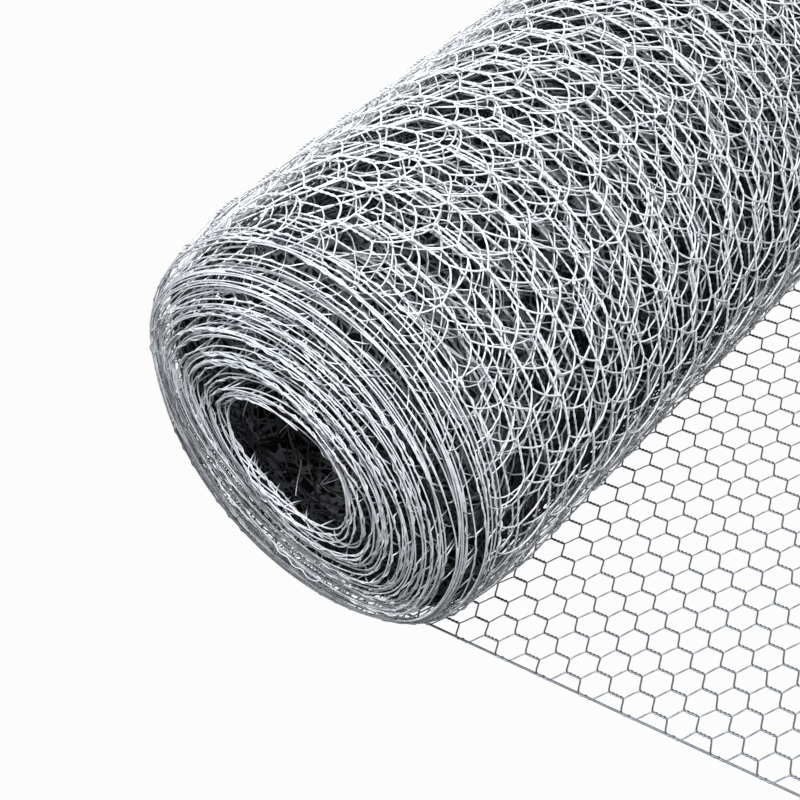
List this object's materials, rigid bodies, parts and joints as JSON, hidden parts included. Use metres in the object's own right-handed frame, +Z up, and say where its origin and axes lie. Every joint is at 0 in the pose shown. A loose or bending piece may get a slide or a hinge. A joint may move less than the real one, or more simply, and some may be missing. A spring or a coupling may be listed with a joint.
{
  "type": "roll of hexagonal wire netting",
  "caption": "Roll of galvanised hexagonal wire netting lying on its side, with a clear bore and a flat free end of open mesh with a wire selvedge.",
  "frame": {"origin": "middle of the footprint, on the floor", "axes": "+X along the free end, away from the roll; +Y along the roll's axis, away from its domed end; +Z up"},
  "size_m": [0.568, 0.6596, 0.3448],
  "materials": {
    "galvanised_wire": "hot-dip galvanised wire, bright with dull patches"
  },
  "bodies": {
    "root": {"wound_roll": "galvanised_wire", "tail_mesh_near": "galvanised_wire", "tail_mesh_middle": "galvanised_wire", "tail_mesh_far": "galvanised_wire"}
  },
  "joints": []
}
